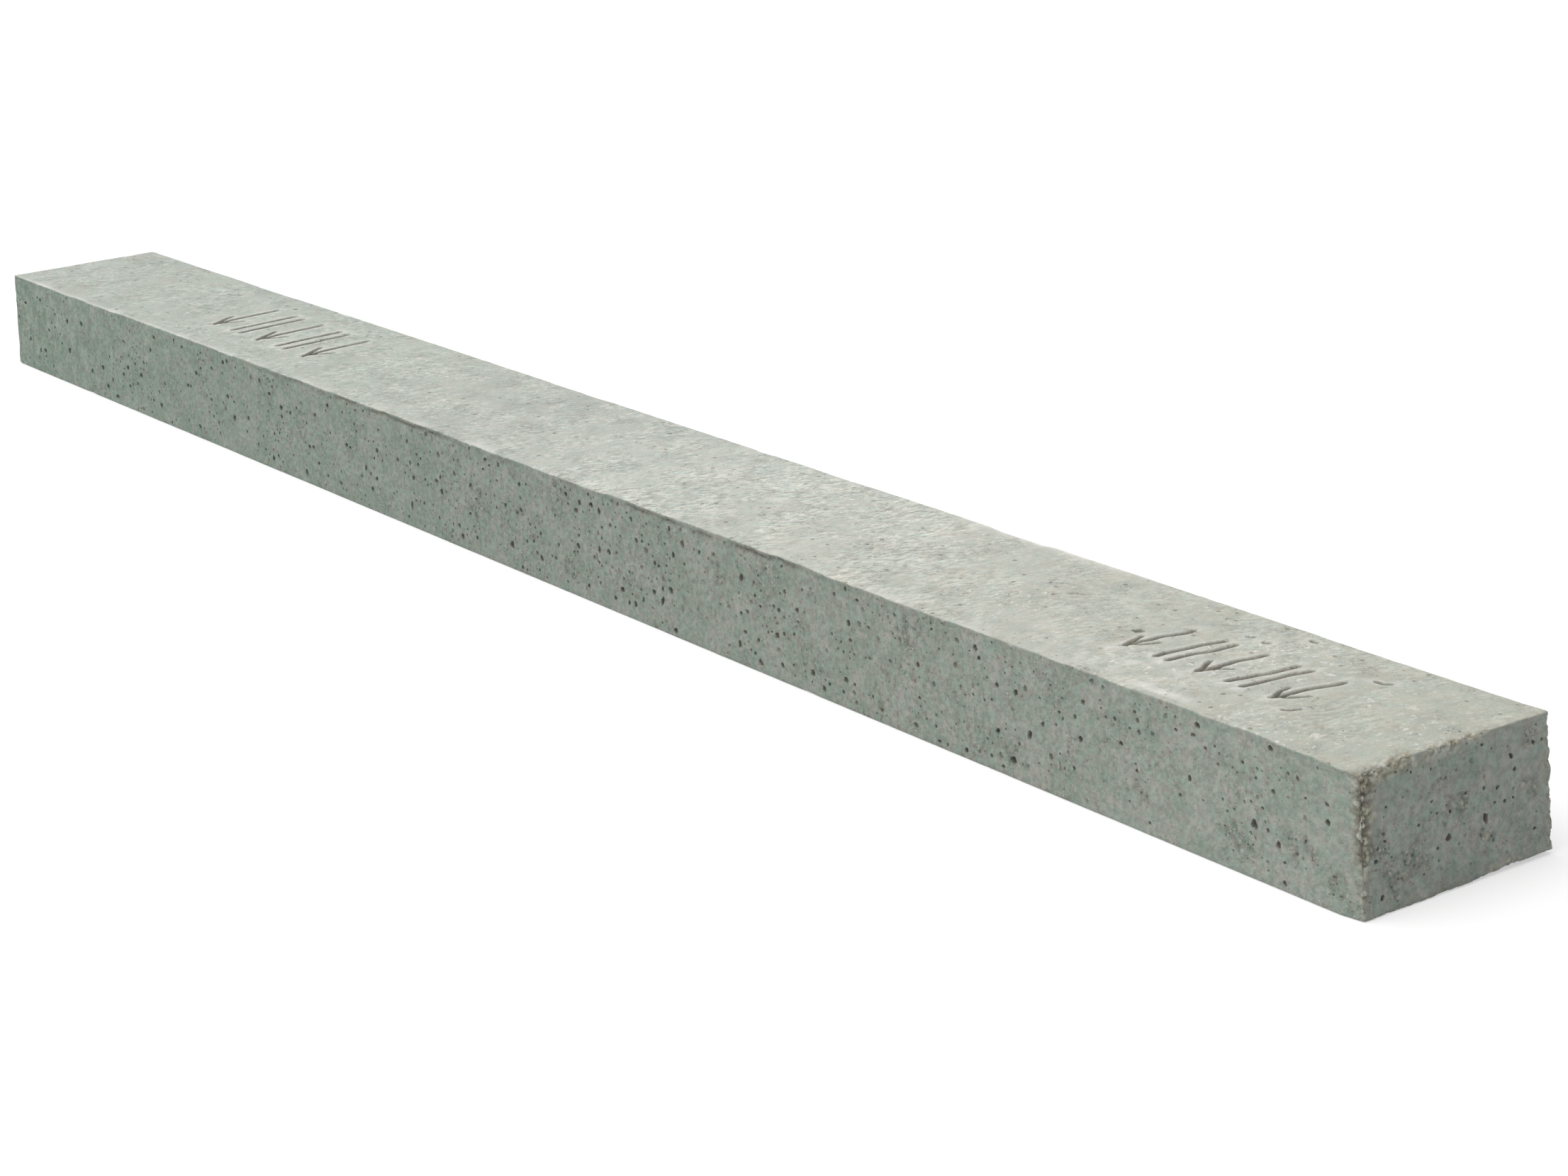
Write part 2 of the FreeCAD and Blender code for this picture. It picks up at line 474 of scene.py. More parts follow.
def scatterPores(side, rng):
    u, v = sides[side][2:]
    kind = poreKinds[side]
    made = [dict(u=place, v=height, radius=radius, tall=tall, deep=poreForm["large"], loose=False)
            for place, height, radius, tall in largePores.get(side, [])]
    edge = barForm["rows"][1]
    patches = [patch[:3] for patch in roughPatches.get(side, []) for _ in range(patch[3])]
    tries = 0
    while len(made) < kind["count"] and tries < kind["count"] * 40:
        tries += 1
        inPatch = tries <= len(patches)
        dropped = side == "top" and len(made) < mortarDrops["count"]
        radius = rng.lognormvariate(math.log(kind["radius"]), kind["spread"])
        radius = min(kind["most"], max(poreForm["least"], radius))
        place = rng.uniform(-1, 1)
        if side == "front":
            radius *= 1 + frontGrowth["most"] * bell(place - frontGrowth["place"], frontGrowth["reach"])
        if inPatch:
            radius = rng.uniform(*poreForm["inPatch"])
        elif dropped:
            radius = rng.uniform(*mortarDrops["radius"])
        room = [half[axis] - edge - radius for axis in (u, v)]
        at = [place * room[0], rng.uniform(-1, 1) * room[1]]
        if inPatch:
            middle = patches[tries - 1]
            at = [middle[i] + rng.gauss(0, 0.55) * middle[2] for i in (0, 1)]
        crowd = noise.noise(Vector((at[0], at[1], len(side) * 31)) / kind["patch"])
        crowd += 0.5 * noise.noise(Vector((at[0], at[1], len(side) * 57)) / (kind["patch"] / 4))
        if abs(at[0]) > room[0] or abs(at[1]) > room[1]:
            continue
        if not inPatch and rng.random() > poreForm["evenness"] + crowd:
            continue
        tall = 1 + rng.random() * (kind["tall"] - 1) * 2
        reach = poreReach(radius, tall)
        if side == "base" and onFoot(at, reach + 0.6):
            continue
        if side == "top" and scoreDepth(np.array([at]))[1] > 0.01:
            continue
        reach += poreForm["apart"]
        if all(math.hypot(at[0] - p["u"], at[1] - p["v"]) > reach + poreReach(p["radius"], p["tall"])
               for p in made):
            deep = rng.uniform(*poreForm["shallow" if rng.random() < poreForm["shallowShare"] else "deep"])
            if dropped or (inPatch and rng.random() < poreForm["proudShare"]):
                deep = -mortarDrops["height"]
            made.append(dict(u=at[0], v=at[1], radius=radius, tall=tall, deep=deep, loose=True))
    return made


# the rings of points that make one hole, from its rim down, each with its depth
def poreRings(pore, rng):
    radius, tall = pore["radius"], pore["tall"]
    count = 6 if radius < 0.7 else 8 if radius < 1.3 else 12
    depth = radius * pore["deep"]
    turn, phase = rng.uniform(-0.5, 0.5) * (6 if pore["loose"] else 1), rng.uniform(0, 1)
    uneven = [1 + rng.uniform(-0.24, 0.2) for _ in range(count)]
    steps = ((1.0, 0.0),) if radius < 0.62 else ((1.0, 0.0), (0.72, 0.72))
    if radius > 1.1:
        steps = ((1.0, 0.0), (0.84, 0.55), (0.48, 0.92))
    rings = []
    for scale, sunk in steps:
        ring = []
        for i in range(count):
            angle = 2 * math.pi * (i + phase) / count
            across = radius * scale * uneven[i] * math.cos(angle) / math.sqrt(tall)
            along = radius * scale * uneven[i] * math.sin(angle) * math.sqrt(tall)
            ring.append((pore["u"] + across * math.cos(turn) - along * math.sin(turn),
                         pore["v"] + across * math.sin(turn) + along * math.cos(turn)))
        rings.append((ring, depth * sunk))
    rings.append(([(pore["u"], pore["v"])], depth))
    return rings


# a side's mesh in its own plane: points, triangles, and what each point is
def meshSide(side, rng):
    pores = scatterPores(side, rng)
    # rings of points, their depth, and the number of the hole or foot whose rim they are, or -1
    rings = [(ring, depth, -1 if level else number) for number, pore in enumerate(pores)
             for level, (ring, depth) in enumerate(poreRings(pore, rng))]
    for number, (low, high) in enumerate(feet if side == "base" else []):
        for (a, b), (c, d), depth in ((low, high, 0.0), (low + 0.05, high - 0.05, feetDepth)):
            rings.append(([(a, b), (c, b), (c, d), (a, d)], depth, -1 if depth else len(pores) + number))
    points, sunk, rim, constraints = [], [], [], []
    for ring, depth, number in rings:
        first, count = len(points), len(ring)
        points += ring
        sunk += [depth] * count
        rim += [number] * count
        if count > 1:
            constraints += [(first + i, first + (i + 1) % count) for i in range(count)]
    placed = np.array(points).reshape(-1, 2)
    rows = edgeRows(side)
    edges = thinned(np.concatenate(rows[:4]), 0.01)
    inner = thinned(np.concatenate(rows[4:]), 0.4)
    loose = [inner, crumbPoints(side, rng), patchPoints(side, rng)]
    if side == "top":
        loose.append(thinned(groovePoints(), 0.4))
    step = barForm["field"][side]
    loose.append(fieldPoints(side, step, barForm["rows"][-1] + step * 0.6, rng))
    taken = [edges, placed]
    for group, gap in zip(loose, [0.45] * (len(loose) - 1) + [step * 0.55]):
        group = clearOf(group, np.concatenate(taken), gap)
        taken.append(outsidePores(group, pores, side))
    everything = np.concatenate([placed, edges] + taken[2:])
    extra = len(everything) - len(placed)
    sunk = np.array(sunk + [0.0] * extra)
    rim = np.array(rim + [-1] * extra)
    flat = [Vector(p) for p in everything]
    _, _, triangles, origins, _, _ = delaunay_2d_cdt(flat, constraints, [], 0, 1e-6)
    source = np.array([o[0] for o in origins])
    return everything[source], sunk[source], rim[source], np.array(triangles)


# drops the points that fall inside a hole or a spacer's foot
def outsidePores(points, pores, side):
    keep = np.ones(len(points), bool)
    for pore in pores:
        reach = pore["radius"] * math.sqrt(max(pore["tall"], 1 / pore["tall"])) * 1.2 + 0.3
        keep &= np.hypot(points[:, 0] - pore["u"], points[:, 1] - pore["v"]) > reach
    if side == "base":
        for low, high in feet:
            keep &= ~((points > low - 0.6) & (points < high + 0.6)).all(axis=1)
    return points[keep]


# wear of each edge: its rounding, how ragged it is, how crumbly, all in millimetres
edgeWear = {
    ("top", "front"): (0.6, 0.15, 0.05),
    ("top", "back"): (1.3, 0.4, 0.05),
    ("top", "nearEnd"): (1.0, 0.5, 0.16),
    ("top", "farEnd"): (1.7, 0.6, 0.15),
    ("base", "front"): (0.6, 0.2, 0.04),
    ("base", "back"): (1.0, 0.3, 0.04),
    ("base", "nearEnd"): (1.2, 0.6, 0.15),
    ("base", "farEnd"): (1.4, 0.8, 0.15),
    ("front", "nearEnd"): (1.8, 1.0, 1.0),
    ("back", "nearEnd"): (1.2, 1.2, 0.25),
    ("front", "farEnd"): (1.5, 0.6, 0.15),
    ("back", "farEnd"): (1.7, 0.8, 0.15),
}
# knocks on the arrises: where in the box, how far they reach, how deep they bite. A burr stands proud
knocks = [
    ((748, -61, 34), 7, 2.8), ((748, -52, 35), 5, 2.0), ((748, -40, 35), 5, 1.6), ((748, -31, 35), 4, 1.2),
    ((748, -14, 35), 4, 1.0), ((748, -4, 35), 4, 1.0), ((748, 9, 35), 5, 1.6), ((748, 18, 35), 4, 1.3),
    ((749, -61, 24), 5, 1.8), ((749, -61, 12), 5, 2.0), ((749, -61, 1), 4, 1.6), ((749, -61, -9), 4, 1.6),
    ((749, -61, -24), 4, 0.5), ((749, 61, 29), 3, 1.2), ((749, 61, 21), 3, 2.6), ((749, 61, 10), 3, 1.2),
    ((749, 61, 0), 3, 1.8), ((749, 61, -8), 3, 1.0), ((749, 61, -17), 3, 1.6), ((749, 61, -27), 4, 1.5),
    ((750, 34, -35), 5, 1.6), ((750, 20, -35), 5, 1.0), ((750, -12, -35), 5, 0.7), ((-749, -61, 33), 5, -2.0),
    ((-749, 40, 34), 5, 1.4), ((-749, -61, -20), 4, 1.2), ((120, 61, 34), 7, 1.2), ((-420, 61, 34), 6, 1.0),
    ((330, -61, -35), 6, 0.9), ((-610, -61, -35), 5, 0.9),
]


# crumbs of about the size given: how high each point stands, about -0.6 to 0.6, and each crumb's tone
def crumbsAt(points, size, seed):
    height, own = np.zeros(len(points)), np.zeros(len(points))
    for i, p in enumerate(points / size + seed * 5.7):
        gaps, middles = noise.voronoi(Vector(p))
        height[i] = 1.3 * min(gaps[1] - gaps[0], 0.35) - 0.7 * gaps[0]
        own[i] = (math.sin(middles[0].dot((12.9, 78.2, 37.7))) * 4375.85) % 1.0
    return height + 0.35 * (own - 0.5), own


# rounding and crumbling at each point of the box, blended from the edges near it
def wearAt(points):
    distance = {name: half[axis] - sign * points[:, axis] for name, (axis, sign, _, _) in sides.items()}
    total, rounding, crumble = 0, 0, 0
    for seed, ((one, other), (radius, ragged, crumbly)) in enumerate(edgeWear.items()):
        near = 1 / (distance[one] + distance[other] + 1.0) ** 3
        rough = ripple(points, 9.0, seed) + 0.8 * ripple(points, 4.0, seed + 20)
        if (one, other) == ("top", "front"):
            radius = radius + barForm["farSoftening"] * smooth(-points[:, 0], 150, 450)
        rounding = rounding + near * (radius + ragged * rough)
        if (one, other) == ("front", "nearEnd"):
            crumbly = crumbly * (0.45 + 0.55 * smooth(points[:, 2], -22, 8))
        if (one, other) == ("top", "nearEnd"):
            crumbly = crumbly + 0.55 * smooth(-points[:, 1], -22, 10)
        crumble = crumble + near * crumbly
        total = total + near
    rounding, crumble = rounding / total, crumble / total
    bite = np.zeros(len(points))
    for middle, reach, deep in knocks:
        bite += deep * bell(np.linalg.norm(points - np.array(middle), axis=1), reach)
    return np.clip(rounding + bite, 0.5, 9.0), crumble + 0.3 * np.clip(bite, 0, 3)


# how rough each point of a side is, from the patches on it
def patchyAt(points, faceOf):
    rough = np.zeros(len(points))
    outline = 0.5 * ripple(points, 6.0, 19)
    for side, patches in roughPatches.items():
        u, v = sides[side][2:]
        for along, across, reach, _ in patches:
            gap = np.hypot(points[:, u] - along, points[:, v] - across) / reach + outline
            rough = np.maximum(rough, (1 - smooth(gap, 0.45, 0.95)) * (faceOf == side))
    return rough * smooth(ripple(points, 7.0, 18), -0.35, 0.15)


# slow waves and falls of the faces, in millimetres
waves = {
    "roll": 0.09, "streak": 0.07, "side": 0.14, "end": 0.20,
    "undercut": 0.75,    # how deep the line under the front's lip is
    "lipReach": 14.0,    # how far in from its edge a low length of the top reaches
    "lipRagged": 0.45,   # how ragged that edge is
    "backFall": 0.55,    # how much lower the back of the top stands, most of it past the far third
    "nearFall": 1.0,     # how much lower the back of the top gets towards the broken end
    "cornerFall": 1.6,   # the same at that end's front corner
    "frontLean": 1.6,    # how much further in the front's upper edge stands
    "frontTurn": 1.7,    # how much the front turns in at the foot of the broken end
    "cornerLift": 1.9,   # how much is broken off under the broken end's back corner
}
# lengths in which the top's edge stands low: -1 for the front or 1 for the back, from, to, and how far down
lowLengths = [(-1, -720, -560, 0.15), (-1, -45, 130, 0.70), (-1, 345, 655, 0.85), (-1, 655, 745, 0.75),
              (1, -560, -500, 0.4), (1, -130, -60, 0.3), (1, 180, 225, 0.3), (1, 345, 390, 0.8),
              (1, 600, 740, 0.3)]


def rollSurface(points):
    x, y, z = points.T
    up = (z + half[2]) / (2 * half[2])
    level = points * (1, 1, 0)
    turned = np.stack([x * 0.96 - y * 0.28, x * 0.28 + y * 0.96, up], axis=1)
    roll = 1 + ripple(level, 80.0, 3) + 0.5 * ripple(level, 26.0, 4)
    streak = 1 + ripple(turned, (5.0, 26.0, 1.0), 5)
    fall = smooth(x, 250, half[0]) * (0.5 + 0.5 * y / half[1])
    cornerFall = smooth(x, half[0] - 75, half[0]) * smooth(-y, 32, half[1])
    drop = waves["roll"] * roll + waves["streak"] * streak
    drop += waves["nearFall"] * fall + waves["cornerFall"] * cornerFall
    drop += waves["backFall"] * smooth(y, -10, half[1]) * (0.35 + 0.65 * smooth(x, -350, 0))
    # the mortar stands in a lip over the mould, and has broken away in lengths
    lost, along = 0, points * (1, 0, 0)
    for side, start, end, deep in lowLengths:
        within = smooth(x, start - 7, start + 7) * (1 - smooth(x, end - 7, end + 7))
        drop += deep * within * bell(y - side * half[1], waves["lipReach"])
        lost = np.maximum(lost, within * deep * (side < 0))
    ragged = smooth(ripple(along, 30.0, 9), -0.05, 0.12) + 0.7 * ripple(along, 7.0, 10)
    drop += waves["lipRagged"] * ragged * bell(y + half[1], 4.0)
    below = half[2] - z
    depthOf = 2.5 + 1.2 * ripple(along, 16.0, 21) + 0.6 * ripple(along, 5.0, 22)
    undercut = waves["undercut"] * (1 - lost) * bell(below - depthOf, 1.0) * (y < -half[1] + 1)
    undercut *= smooth(x, -450, -150) * (0.25 + 0.75 * smooth(ripple(along, 26.0, 23), -0.3, 0.05))
    flat = points * (1, 0, 1)
    sideIn = waves["side"] * (1 + ripple(flat + np.sign(points[:, 1:2]) * 300, (60.0, 1.0, 45.0), 6))
    endIn = waves["end"] * (1 + ripple(points * (0, 1, 1), 24.0, 7)) * smooth(abs(x), half[0] - 14, half[0])
    moved = points.copy()
    corner = smooth(x, half[0] - 26, half[0]) * smooth(y, -25, half[1])
    moved[:, 2] += waves["cornerLift"] * corner * (1 - up) ** 2 - drop * up ** 3
    moved[:, 1] -= np.sign(y) * (sideIn + undercut) * (abs(y) / half[1]) ** 3
    turn = waves["frontTurn"] * smooth(x, half[0] - 16, half[0]) * (0.3 + 0.7 * smooth(-z, -8, half[2]))
    moved[:, 1] += (waves["frontLean"] * up + turn) * (0.5 - 0.5 * y / half[1])
    moved[:, 0] -= np.sign(x) * endIn
    return moved, undercut / waves["undercut"]


# lime bloom on the top, and how strong it is
bloom = {
    "front": 0.5,     # along the front's edge, in lengths
    "patch": 0.6,     # in front of the near marks
    "streak": 1.2,    # at the edge there
    "back": 0.9,      # on the back's edge
    "rim": 0.4,       # on the front's rim towards the far end
}


def bleachedAt(points):
    x, y, _ = points.T
    toFront, toBack = y + half[1], y - half[1]
    front = smooth(ripple(points * (1, 0, 0), 45.0, 13), -0.1, 0.4) * bell(toFront, 6.0) * (x < 560)
    patch = bell(x - 560, 70) * bell(y + 38, 15) * smooth(ripple(points, 9.0, 14), -0.1, 0.4)
    streak = bell(x - 610, 20) * bell(y + 55, 2.5)
    back = bell(x - 400, 80) * bell(toBack, 4.0) * (1 + ripple(points, 9.0, 20))
    rim = bell(toFront, 2.5) * smooth(-x, 300, 420)
    return (bloom["front"] * front + bloom["patch"] * patch + bloom["streak"] * streak
            + bloom["back"] * back + bloom["rim"] * rim)


# crumbs at the broken end and in the rough patches. Sizes and heights in millimetres
crumbForm = {
    "size": 2.7,          # of one crumb
    "relief": 2.2,        # how strongly crumbs stand out
    "lumps": 0.5,         # height of the slower lumps below them
    "loss": 0.35,         # how much lower the crumbled surface lies
    "inPatches": 0.7,     # how strong all this is in the rough patches
    "creviceShade": 0.52,      # how dark the painted shade in the gaps between crumbs is
    "patchCreviceShade": 0.28,  # the same in the rough patches, besides
    "bare": 1.45,         # how fully the broken concrete's own colours show
    "paleGrain": 0.9,     # the same for pale grains in the rough patches
    "scoredFrom": 1.1,    # depth at which the painted shade in the scoring is darkest
    "burrHighlight": 1.2,     # painted highlight on the burrs beside the scoring
}


# how crumbly each point is, from the arrises inwards
def crumblyAt(points, spoke, crumble):
    onArris = smooth(1 - abs(spoke).max(axis=1), 0.0, 0.12)
    toEnd = smooth(half[0] - points[:, 0], barForm["crumbReach"] * 1.25, 0.0)
    edgeGap = np.sort(half - abs(points), axis=1)[:, 1]
    patchy = smooth(ripple(points, 11.0, 15) + 0.5 * ripple(points, 4.0, 16) + 0.6 * crumble, -0.45, 0.1)
    spread = barForm["crumbReach"] * (0.85 + 0.7 * ripple(points, 13.0, 17))
    return crumble * patchy * np.maximum(onArris, (1 - smooth((edgeGap - 0.5) / spread, 0, 1)) * toEnd)


# six sides sewn together along their edges
def sewnSides(rng):
    gathered, count, rimCount = [], 0, 0
    for side, (axis, sign, u, v) in sides.items():
        flat, sunk, rim, triangles = meshSide(side, rng)
        points, normals = np.zeros((2, len(flat), 3))
        points[:, u], points[:, v], points[:, axis] = flat[:, 0], flat[:, 1], sign * half[axis]
        normals[:, axis] = sign
        if (sign < 0) == (axis != 1):
            triangles = triangles[:, ::-1]
        rims = np.where(rim >= 0, rim + rimCount, -1)
        gathered.append((points, normals, sunk, rims, [side] * len(flat), triangles + count))
        rimCount += max(rim.max(), 0) + 1
        count += len(flat)
        print(f"{side}: {len(flat)} points, {len(triangles)} triangles")
    *ofPoints, faces = (np.concatenate(parts) for parts in zip(*gathered))
    _, first, sewn = np.unique(np.round(ofPoints[0], 3), axis=0, return_index=True, return_inverse=True)
    return [values[first] for values in ofPoints] + [sewn.reshape(-1)[faces]]


# the whole skin: worn, holed, and leaned as the solid leans
def buildConcrete():
    points, normals, sunk, rims, faceOf, faces = sewnSides(random.Random(4))
    rounding, crumble = wearAt(points)
    core = np.clip(points, -(half - rounding[:, None]), half - rounding[:, None])
    spoke = points - core
    spoke /= np.maximum(np.linalg.norm(spoke, axis=1), 1e-9)[:, None]
    worn = core + spoke * rounding[:, None]
    crumbly, patches = crumblyAt(points, spoke, crumble), patchyAt(points, faceOf)
    grit, own = crumbsAt(points, crumbForm["size"], 11)
    relief = crumbForm["relief"] * grit + crumbForm["lumps"] * ripple(points, 5.0, 12) - crumbForm["loss"]
    worn += spoke * (relief * np.maximum(crumbly, crumbForm["inPatches"] * patches))[:, None]
    scored, burr = scoreDepth(points[:, :2])
    scored, burr = scored * (normals[:, 2] > 0.5), burr * (normals[:, 2] > 0.5)
    worn, underLip = rollSurface(worn)
    worn -= normals * (sunk + scored - burr)[:, None]
    up = (worn[:, 2:3] + half[2]) / (2 * half[2])
    worn[:, :2] *= 1 - lean / half[:2] * up
    worn[:, :2] = np.clip(worn[:, :2], -half[:2], half[:2])
    worn[:, 2] = np.clip(worn[:, 2] + half[2], 0, boxHigh.z / mm)
    # painted shade in the gaps between crumbs, at the broken end and in the rough patches
    creviceShade = smooth(-grit, 0.0, 0.35) * np.clip(crumbly + crumbForm["patchCreviceShade"] * patches, 0, 1)
    paleGrain = patches * smooth(grit, -0.05, 0.2) * smooth(own, 0.4, 0.65)
    shown = {
        "trowelled": smooth(spoke[:, 2], 0.35, 0.85),
        "endOn": smooth(abs(spoke[:, 0]), 0.4, 0.8),
        # painted shade: in the holes by their depth, in the line under the front's lip, and in the gaps
        # between crumbs
        "hollow": np.clip(sunk, 0, 1) * (sunk != feetDepth) + underLip + crumbForm["creviceShade"] * creviceShade,
        "broken": np.clip(np.maximum(crumbly * crumbForm["bare"], crumbForm["paleGrain"] * paleGrain), 0, 1),
        "rough": patches,
        "crumbTone": np.clip(own + 0.45 * smooth(points[:, 2], 27, 34), 0, 1),
        # lime bloom, with a painted highlight on the burrs beside the scoring
        "bleached": np.clip(bleachedAt(points) + crumbForm["burrHighlight"] * burr, 0, 1),
        # painted shade in the scoring, darker where it is deeper
        "scored": np.clip(scored / crumbForm["scoredFrom"], 0, 1),
    }
    return points, worn, faces, rims, shown


def makeMesh(name, points, faces):
    mesh = bpy.data.meshes.new(name)
    mesh.from_pydata(points.tolist(), [], faces.tolist())
    mesh.validate()
    mesh.polygons.foreach_set("use_smooth", [True] * len(mesh.polygons))
    piece = bpy.data.objects.new(name, mesh)
    bpy.context.scene.collection.objects.link(piece)
    return piece


# lays the skin out flat for textures, in rows: the long sides cut in two at the middle, and then the ends
def layOut(mesh, boxPoints):
    corners = np.array([p.vertices for p in mesh.polygons])
    placed = boxPoints[corners]
    middle = placed.mean(axis=1)
    facing = (abs(middle) / half).argmax(axis=1)
    ahead = middle[np.arange(len(middle)), facing] > 0
    flat = np.zeros((len(corners), 3, 2))
    gap, row, column = 7.0, 0.0, 0.0
    for axis, sign, u, v in sides.values():
        onSide = (facing == axis) & (ahead == (sign > 0))
        for part in (0, 1) if u == 0 else (0,):
            chosen = onSide & ((middle[:, 0] > 0) == bool(part)) if u == 0 else onSide
            start = -half[u] if not part else 0.0
            flat[chosen, :, 0] = placed[chosen][:, :, u] - start + gap + column
            flat[chosen, :, 1] = placed[chosen][:, :, v] + half[v] + gap + row
            if u == 0:
                row += 2 * half[v] + gap
            else:
                column += 2 * half[u] + gap
    flat /= row + 2 * half[2] + 2 * gap
    mesh.uv_layers.new(name="OFBake").data.foreach_set("uv", flat.reshape(-1))


boxPoints, wornPoints, triangles, rimOf, shown = buildConcrete()
concrete = makeMesh("concrete_bar", wornPoints * mm, triangles)
layOut(concrete.data, boxPoints)
for name, values in shown.items():
    concrete.data.attributes.new(name, "FLOAT", "POINT").data.foreach_set("value", values.astype(np.float32))
ends = np.array([e.vertices for e in concrete.data.edges])
sharp = (rimOf[ends[:, 0]] >= 0) & (rimOf[ends[:, 0]] == rimOf[ends[:, 1]])
concrete.data.attributes.new("sharp_edge", "BOOLEAN", "EDGE").data.foreach_set("value", sharp)
print(f"concrete skin: {len(concrete.data.polygons)} triangles")

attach(concrete, "root")
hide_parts("concrete_body")

concreteLook = {
    # colours along the bar, each at its share of the length from the far end
    "mould": ((0.0, (145, 159, 147)), (0.25, (148, 160, 149)), (0.5, (149, 159, 149)),
              (0.75, (155, 163, 153)), (1.0, (160, 168, 158))),
    "trowelled": ((0.0, (181, 187, 179)), (0.33, (184, 190, 181)), (0.45, (183, 187, 180)),
                  (0.57, (194, 198, 190)), (0.73, (196, 198, 189)), (0.81, (189, 191, 181)),
                  (0.92, (187, 189, 179)), (1.0, (183, 185, 174))),
    "end": (154, 161, 153),
    "bloom": (232, 231, 224),    # lime bloom, also the colour of the painted highlight on the burrs
    "crumbs": ((128, 125, 112), (158, 154, 138), (204, 202, 192)),  # sand, mortar and stone at a broken arris
    "shadeTones": ((80, 78, 70), (98, 80, 66)),    # painted shade in air holes, under the front's lip and between crumbs, grey to brown
    "scored": (98, 90, 75),      # painted shade in the bottom of the scoring
    # what darkens or browns the colour, as shares of it
    "smudged": (0.78, 0.69, 0.66, 1),
    "specked": (0.57, 0.52, 0.46, 1),
    "earthy": (0.96, 0.90, 0.77, 1),
    # how far crumbs, the painted shade in the scoring, and the painted shade of holes, the lip and the
    # crumbs' gaps hide the colour below, laid on in this order
    "hides": {"broken": 0.64, "scored": 0.85, "hollow": 0.7},
    # patterns: grain in millimetres, detail, roughness, the levels they run between, and the values there
    "mottle": (3.4, 4, 0.7, 0.33, 0.67, 0.83, 1.17),
    "coarseMottle": (9, 3, 0.6, 0.35, 0.65, 0.86, 1.14),
    "slowMottle": (17, 3, 0.5, 0.35, 0.65, 0.95, 1.05),
    "smudges": (2.9, 2, 0.6, 0.60, 0.70),
    "tallSmudges": (4.2, 2, 0.6, 0.60, 0.68),
    "smudgeCrowds": (45, 3, 0.5, 0.38, 0.6, 0.4, 1.0),
    "strokes": (2.3, 5, 0.8, 0.3, 0.7, 0.57, 1.51),    # of the float in the top
    "broadStrokes": (7, 3, 0.6, 0.35, 0.65, 0.935, 1.065),
    "lively": (42, 3, 0.6, 0.38, 0.56, 0.25, 1.0),     # where the strokes show most
    "slowTop": (30, 3, 0.6, 0.35, 0.65, 0.95, 1.05),
    "flecks": (3.0, 4, 0.75, 0.56, 0.64, 0.0, 0.9),    # of bloom
    "fleckCrowds": (70, 2, 0.5, 0.4, 0.62, 0.25, 1.0),
    "sandy": (24, 3, 0.6, 0.50, 0.64, 0.0, 0.7),
    "earthySpots": (5.5, 3, 0.6, 0.48, 0.60),
    "brownerShade": (14, 3, 0.5, 0.45, 0.58),
    # patterns of cool and warm tints, as shares of the colour
    "sideTints": (((6, 5, 0.7, 0.36, 0.64), (0.915, 1.0, 0.98, 1), (1.10, 1.0, 1.008, 1)),
                  ((17, 3, 0.6, 0.38, 0.62), (0.969, 1.0, 0.983, 1), (1.031, 1.0, 1.016, 1))),
    "topTints": (((9, 5, 0.65, 0.37, 0.63), (0.964, 1.0, 0.998, 1), (1.034, 1.0, 0.988, 1)),
                 ((32, 3, 0.6, 0.38, 0.62), (0.99, 1.0, 1.0, 1), (1.014, 1.0, 0.99, 1))),
    # spots: the size of their cells in millimetres, the share that has one, and its width
    "specks": (12, 0.65, 0.14),  # small dark spots in the top
    "sand": (((2.2, 0.22, 0.40), (88, 90, 82)), ((2.1, 0.33, 0.40), (200, 203, 193))),  # and their colours
    "sandHides": 0.75,
    # directions of patterns: degrees from straight across, and how far they're drawn out each way
    "strokeTurn": (-17.0, (1.0, 2.6, 1.0)),
    "fleckTurn": (-5.0, (1.0, 1.5, 1.0)),
    "smudgeTurn": (0.0, (1.0, 1.0, 1.5)),
    # changes along the bar: two shares of its length, and the values there
    "coarseFade": ((0.0, 0.3, 0.8, 0.0),),
    "smudgeFade": ((0.3, 0.45), (0.9, 0.8)),
    "livelyFade": ((0.48, 0.57, 0.77, 1.0), (0.70, 0.82, 1.0, 0.52)),
    "fleckFade": ((0.1, 0.4, 0.55, 1.0),),
    # relief too fine for the mesh: grain, detail and roughness, and depth in millimetres
    "grit": ((1.8, 4, 0.7), 0.6),
    "lumps": ((5, 3, 0.6), 1.0),
    "gritGain": (0.7, 2.2),      # the grit's strength in smooth and in rough places
    "roughness": 0.88,
}


# the moulded sides: mottled, with dark smudges of half-open holes
def sideShade(bench, look):
    mottle = bench.pattern(look["mottle"])
    coarse = bench.times(mottle, bench.pattern(look["coarseMottle"]))
    mottle = bench.mix(bench.fade(*look["coarseFade"]), mottle, coarse)
    crowds = bench.pattern(look["smudgeCrowds"])
    smudges = bench.times(bench.pattern(look["smudges"]), crowds)
    tall = bench.pattern(look["tallSmudges"], bench.turned(*look["smudgeTurn"]))
    smudges = bench.maths("MAXIMUM", smudges, bench.times(tall, bench.fade(*look["smudgeFade"]), crowds))
    tint = bench.tints(look["sideTints"])
    shade = bench.tinted(tint, bench.times(mottle, bench.pattern(look["slowMottle"])))
    return bench.mix(smudges, shade, look["smudged"], "MULTIPLY")


